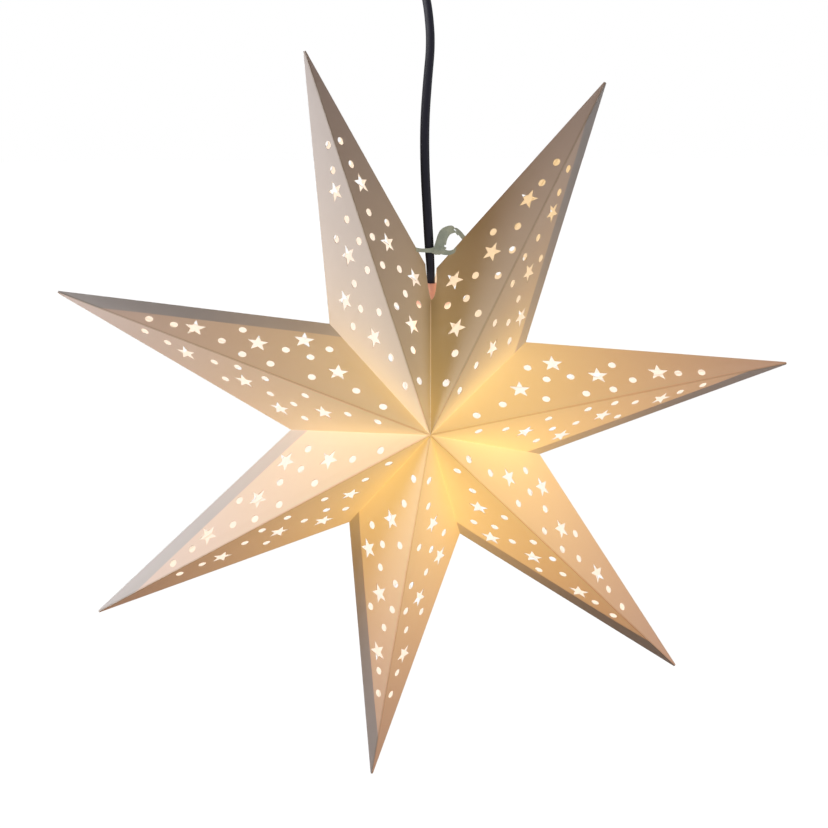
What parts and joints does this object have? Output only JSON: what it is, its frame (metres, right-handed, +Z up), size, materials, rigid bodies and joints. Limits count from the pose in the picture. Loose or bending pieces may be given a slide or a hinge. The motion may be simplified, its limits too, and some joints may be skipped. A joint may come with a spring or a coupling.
{
  "type": "paper star pendant",
  "caption": "Folded paper star shade with cut-out stars and dots, hung by a flex and a small screw lampholder from a ceiling rose.",
  "frame": {"origin": "middle of the rose's ceiling face, where the flex's line meets the ceiling", "axes": "+Z up into the ceiling, +X to the right seen from the front, +Y away from the viewer, through the star's thin way"},
  "size_m": [0.5715, 0.17, 0.6821],
  "materials": {
    "plate_steel": "satin",
    "rose_plastic": "satin",
    "screw_steel": "satin",
    "terminal_plastic": "matte",
    "gland_plastic": "satin",
    "flex_pvc": "satin",
    "core_insulation": "satin",
    "holder_plastic": "satin",
    "insert_plastic": "matte",
    "brass": "satin",
    "nylon": "matte",
    "bulb_glass": "gloss",
    "bulb_cap_metal": "satin",
    "black_glass": "gloss",
    "stem_glass": "gloss",
    "filament_phosphor": "matte",
    "lead_wire": "satin",
    "circuit_board": "satin",
    "paper_outside": "matte",
    "ribbon": "matte"
  },
  "bodies": {
    "rose": {"ceiling_plate": "plate_steel", "rose_cover": "rose_plastic", "cover_screws": "screw_steel", "terminal_block": "terminal_plastic", "terminal_screws": "screw_steel", "block_screw": "screw_steel", "cord_gland": "gland_plastic", "gland_nut": "gland_plastic", "flex_in_rose": "flex_pvc", "rose_wires": "core_insulation"},
    "lampholder": {"flex": "flex_pvc", "holder_cap": "holder_plastic", "grip_screw": "nylon", "holder_skirt": "holder_plastic", "holder_insert": "insert_plastic", "screw_shell": "brass", "centre_contact": "brass", "holder_terminal_screws": "screw_steel", "holder_wires": "core_insulation"},
    "bulb": {"bulb_globe": "bulb_glass", "bulb_screw_cap": "bulb_cap_metal", "bulb_insulator": "black_glass", "bulb_tip": "brass", "bulb_stem": "stem_glass", "bulb_filaments": "filament_phosphor", "bulb_leads": "lead_wire", "bulb_driver": "circuit_board"},
    "star": {"arm_1": "paper_outside", "arm_2": "paper_outside", "arm_3": "paper_outside", "arm_4": "paper_outside", "arm_5": "paper_outside", "arm_6": "paper_outside", "arm_7": "paper_outside", "tie_ribbon_left": "ribbon", "tie_ribbon_right": "ribbon"}
  },
  "joints": [
    {"name": "pendant_swing", "type": "hinge", "parent": "rose", "child": "lampholder", "pos_m": [0, 0, -0.037], "axis": [0, 1, 0], "range_deg": [-15, 15]},
    {"name": "star_turn", "type": "hinge", "parent": "lampholder", "child": "star", "pos_m": [0.00613, 0, -0.389], "axis": [0, 0, 1], "continuous": true},
    {"name": "bulb_unscrew", "type": "slide", "parent": "lampholder", "child": "bulb", "axis": [0, 0, -1], "range_m": [0, 0.025]}
  ]
}
